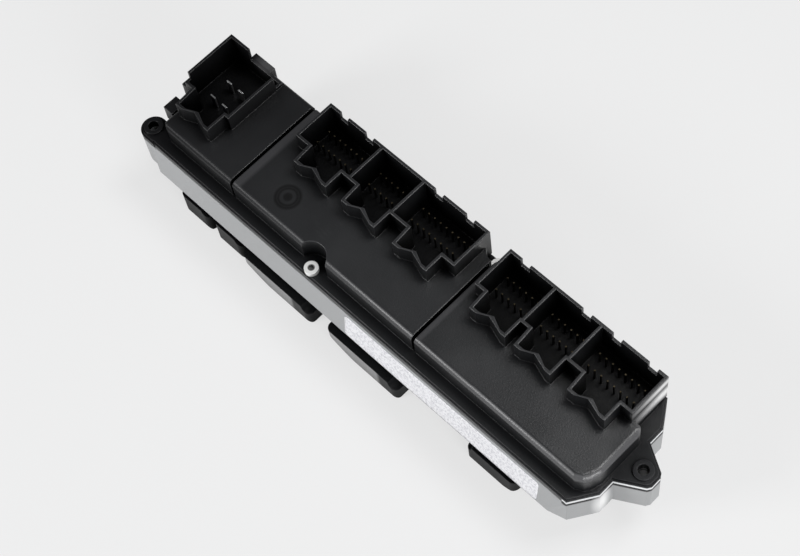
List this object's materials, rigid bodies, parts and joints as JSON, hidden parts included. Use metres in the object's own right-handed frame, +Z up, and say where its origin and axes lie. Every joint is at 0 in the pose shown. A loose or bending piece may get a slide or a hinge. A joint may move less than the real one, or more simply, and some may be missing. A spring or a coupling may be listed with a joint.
{
  "type": "power window switch",
  "caption": "Long master window switch bank lying face down: black rear cover with keyed wiring sockets, grey housing, rocking window levers, toggles and push buttons.",
  "frame": {"origin": "centre of the case's footprint, on the surface that the lever tips rest on", "axes": "+X along the bank towards the end with the right ear, +Y across towards the wiring sockets, +Z up, away from the levers"},
  "size_m": [0.2611, 0.0646, 0.0593],
  "materials": {
    "black_case": "fine moulded grain, satin",
    "grey_case": "moulded, satin",
    "inner_frame": "moulded",
    "circuit_board": "solder mask",
    "dome_rubber": "silicone rubber",
    "contact_carbon": "carbon-filled rubber",
    "clear_plastic": "clear moulded plastic",
    "chip_plastic": "moulded epoxy",
    "lamp_plastic": "clear resin over phosphor",
    "bright_steel": "zinc plated",
    "tinned_terminal": "tin plated",
    "brass_terminal": "plated brass",
    "lever_plastic": "satin soft-touch",
    "toggle_plastic": "satin"
  },
  "bodies": {
    "case": {"rear_cover": "black_case", "front_housing": "grey_case", "carrier_frame": "inner_frame", "main_board": "circuit_board", "dome_mat": "dome_rubber", "contact_pills": "contact_carbon", "light_pipe": "clear_plastic", "board_chips": "chip_plastic", "board_lamps": "lamp_plastic", "board_screws": "bright_steel", "cover_screws": "bright_steel", "pins_large": "tinned_terminal", "pins_mid_left": "brass_terminal", "pins_mid_centre": "brass_terminal", "pins_mid_right": "brass_terminal", "pins_end_left": "brass_terminal", "pins_end_centre": "brass_terminal", "pins_end_right": "brass_terminal"},
    "window_lever_near_left": {"window_lever_near_left": "lever_plastic"},
    "window_lever_near_right": {"window_lever_near_right": "lever_plastic"},
    "toggle_near_left": {"toggle_near_left": "toggle_plastic"},
    "toggle_near_right": {"toggle_near_right": "toggle_plastic"},
    "lock_rocker_near": {"lock_rocker_near": "toggle_plastic"},
    "end_button_near": {"end_button_near": "toggle_plastic"},
    "window_lever_far_left": {"window_lever_far_left": "lever_plastic"},
    "window_lever_far_right": {"window_lever_far_right": "lever_plastic"},
    "toggle_far_left": {"toggle_far_left": "toggle_plastic"},
    "toggle_far_right": {"toggle_far_right": "toggle_plastic"},
    "lock_rocker_far": {"lock_rocker_far": "toggle_plastic"},
    "end_button_far": {"end_button_far": "toggle_plastic"}
  },
  "joints": [
    {"name": "window_lever_near_left_rock", "type": "hinge", "parent": "case", "child": "window_lever_near_left", "pos_m": [-0.0476, -0.0177, 0.024], "axis": [0, 1, 0], "range_deg": [-7, 7], "stiffness_Nm_per_rad": 0.9},
    {"name": "window_lever_near_right_rock", "type": "hinge", "parent": "case", "child": "window_lever_near_right", "pos_m": [0.0028, -0.0177, 0.024], "axis": [0, 1, 0], "range_deg": [-7, 7], "stiffness_Nm_per_rad": 0.9},
    {"name": "toggle_near_left_rock", "type": "hinge", "parent": "case", "child": "toggle_near_left", "pos_m": [-0.0996, -0.0177, 0.024], "axis": [0, 1, 0], "range_deg": [-5, 5], "stiffness_Nm_per_rad": 0.5},
    {"name": "toggle_near_right_rock", "type": "hinge", "parent": "case", "child": "toggle_near_right", "pos_m": [-0.0789, -0.0177, 0.024], "axis": [0, 1, 0], "range_deg": [-5, 5], "stiffness_Nm_per_rad": 0.5},
    {"name": "lock_rocker_near_rock", "type": "hinge", "parent": "case", "child": "lock_rocker_near", "pos_m": [0.0728, -0.0177, 0.024], "axis": [0, 1, 0], "range_deg": [-6, 6], "stiffness_Nm_per_rad": 0.6},
    {"name": "end_button_near_press", "type": "slide", "parent": "case", "child": "end_button_near", "axis": [0, 0, 1], "range_m": [0, 0.0012], "stiffness_N_per_m": 2500},
    {"name": "window_lever_far_left_rock", "type": "hinge", "parent": "case", "child": "window_lever_far_left", "pos_m": [-0.0476, 0.0177, 0.024], "axis": [0, 1, 0], "range_deg": [-7, 7], "stiffness_Nm_per_rad": 0.9},
    {"name": "window_lever_far_right_rock", "type": "hinge", "parent": "case", "child": "window_lever_far_right", "pos_m": [0.0028, 0.0177, 0.024], "axis": [0, 1, 0], "range_deg": [-7, 7], "stiffness_Nm_per_rad": 0.9},
    {"name": "toggle_far_left_rock", "type": "hinge", "parent": "case", "child": "toggle_far_left", "pos_m": [-0.0996, 0.0177, 0.024], "axis": [0, 1, 0], "range_deg": [-5, 5], "stiffness_Nm_per_rad": 0.5},
    {"name": "toggle_far_right_rock", "type": "hinge", "parent": "case", "child": "toggle_far_right", "pos_m": [-0.0789, 0.0177, 0.024], "axis": [0, 1, 0], "range_deg": [-5, 5], "stiffness_Nm_per_rad": 0.5},
    {"name": "lock_rocker_far_rock", "type": "hinge", "parent": "case", "child": "lock_rocker_far", "pos_m": [0.0728, 0.0177, 0.024], "axis": [0, 1, 0], "range_deg": [-6, 6], "stiffness_Nm_per_rad": 0.6},
    {"name": "end_button_far_press", "type": "slide", "parent": "case", "child": "end_button_far", "axis": [0, 0, 1], "range_m": [0, 0.0012], "stiffness_N_per_m": 2500}
  ]
}
